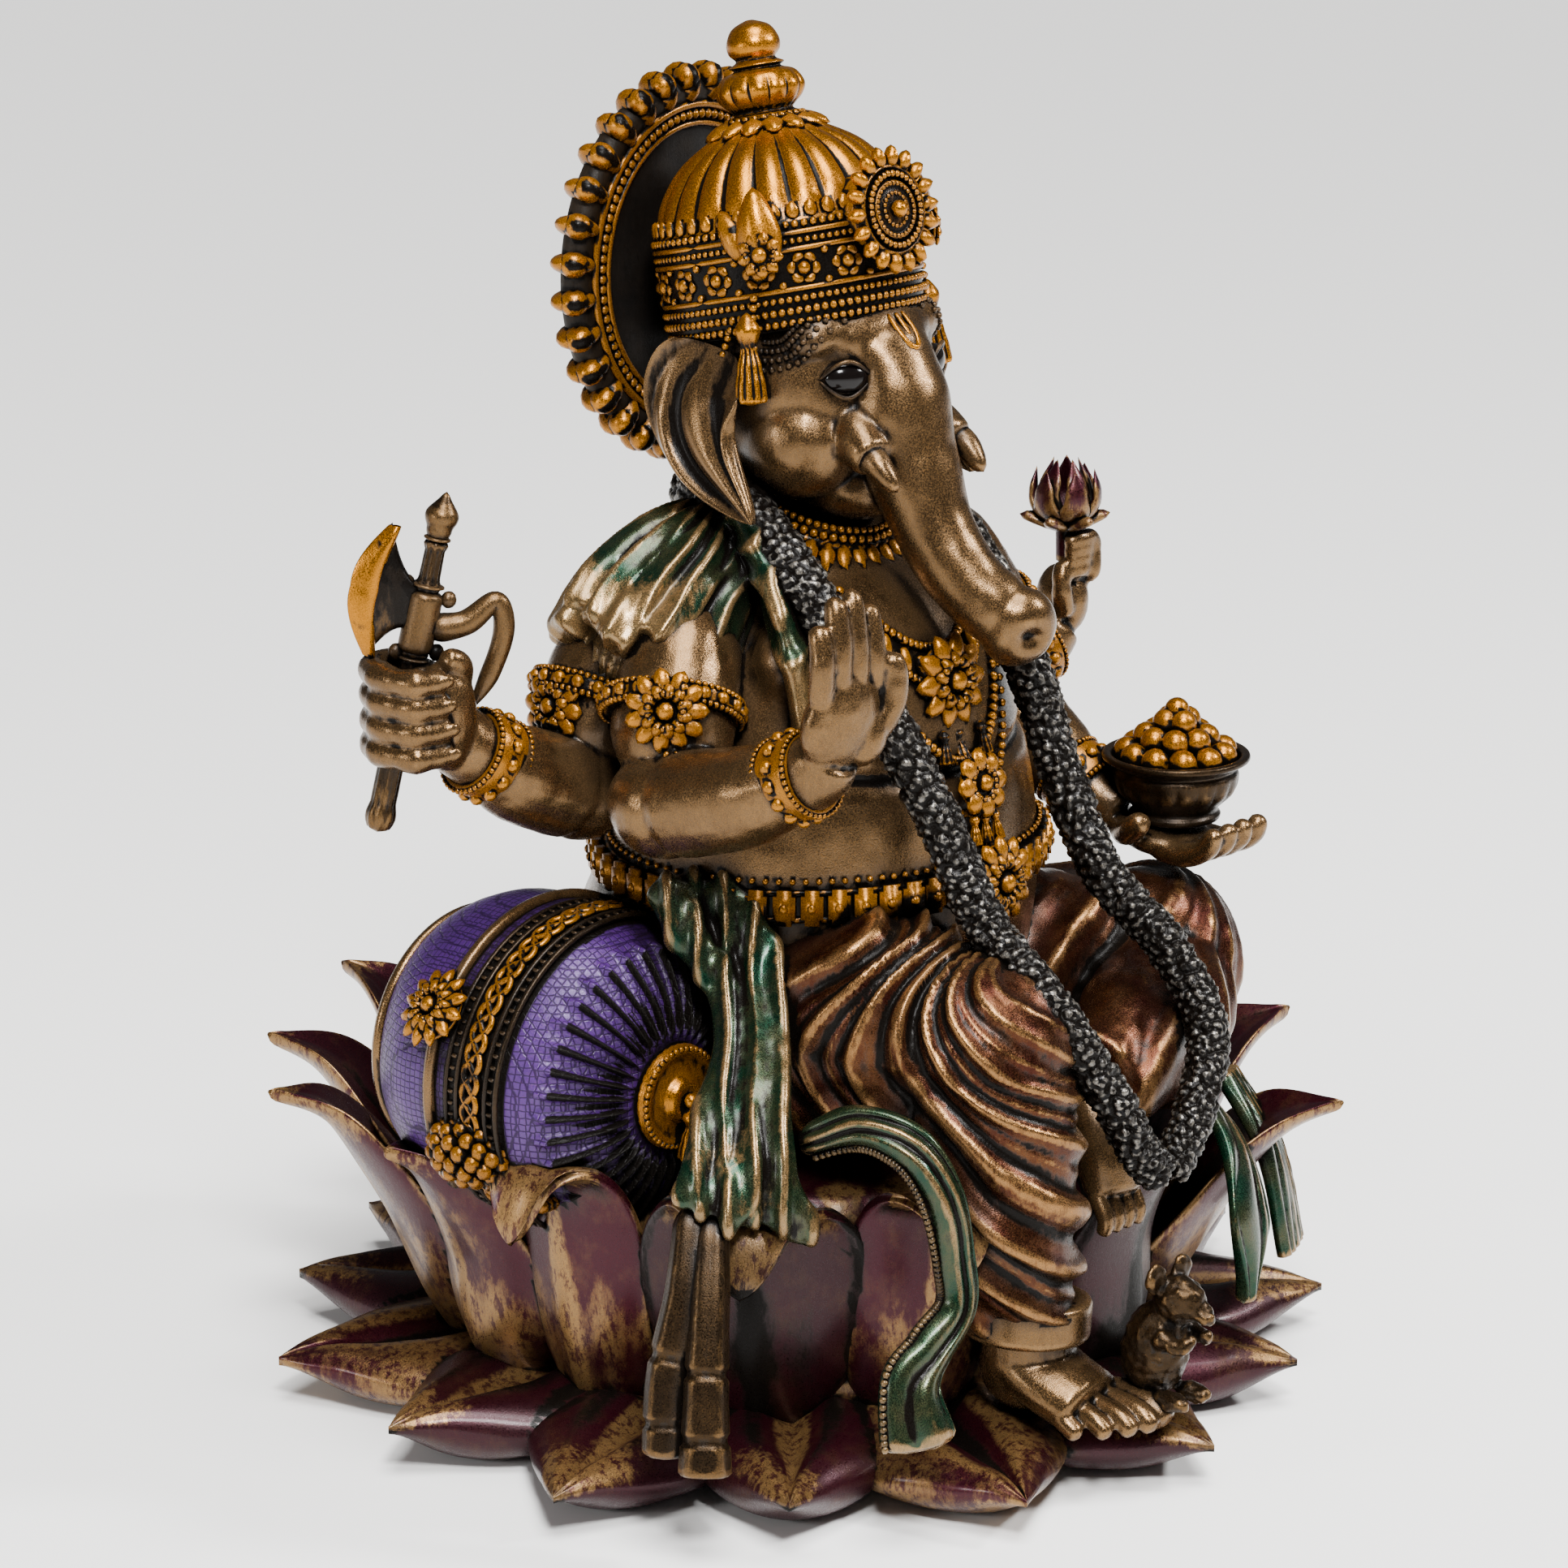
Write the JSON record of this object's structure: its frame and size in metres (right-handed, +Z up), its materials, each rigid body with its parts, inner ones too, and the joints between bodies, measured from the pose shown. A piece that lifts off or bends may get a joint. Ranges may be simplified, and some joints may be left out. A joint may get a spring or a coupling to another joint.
{
  "type": "hindu deity statue",
  "caption": "Seated elephant-headed deity on a lotus, four-armed, with axe, bud and bowl of sweets, cast in bronze-filled resin; a table or shrine ornament that stands on its flat underside",
  "frame": {"origin": "middle of the flat underside of the lotus base", "axes": "+Z up, -Y the way the figure faces, +X towards the figure's own left hand"},
  "size_m": [0.167, 0.1662, 0.2092],
  "materials": {
    "bronze": "bronze powder in the resin, rubbed bright on the high spots, dark wax left in the hollows",
    "gold": "antique gold paint over the bronze casting, dark wash in the hollows",
    "maroon": "translucent maroon tint over bronze, rubbed back on the edges",
    "copper": "reddish brown tint over bronze, rubbed back on the folds",
    "green": "green tint over bronze, rubbed back on the folds",
    "purple": "purple paint, satin",
    "silver": "dark wash over pewter coloured resin, rubbed bright on the high spots",
    "dark": "black wash, dull"
  },
  "bodies": {
    "root": {"anklet": "bronze", "axe": "bronze", "belly_rosette": "gold", "belt": "gold", "bolster": "purple", "breast_rosette": "gold", "chest_rosette": "gold", "collar": "gold", "crown": "gold", "crown_finial": "gold", "crown_medallion": "gold", "front_armlet": "gold", "front_left_arm": "bronze", "front_left_bracelet": "gold", "front_right_arm": "bronze", "front_right_bracelet": "gold", "front_sash": "green", "garland": "silver", "halo_disc": "dark", "halo_rim": "gold", "head": "bronze", "left_ear": "bronze", "left_foot": "bronze", "left_leg": "copper", "left_sash": "green", "left_tusk": "bronze", "lotus_base": "maroon", "lotus_bud": "maroon", "lotus_seat": "maroon", "mouse": "bronze", "petal_01": "maroon", "petal_02": "maroon", "petal_03": "maroon", "petal_04": "maroon", "petal_05": "maroon", "petal_06": "maroon", "petal_07": "maroon", "petal_08": "maroon", "petal_09": "maroon", "petal_10": "maroon", "petal_11": "maroon", "petal_12": "maroon", "petal_13": "maroon", "petal_14": "maroon", "rear_armlet": "gold", "rear_left_arm": "bronze", "rear_right_arm": "bronze", "rear_right_bracelet": "gold", "right_ear": "bronze", "right_foot": "bronze", "right_leg": "copper", "right_tusk": "bronze", "shawl": "green", "side_drape": "green", "sweet_bowl": "bronze", "sweets": "gold", "torso": "bronze"}
  },
  "joints": []
}
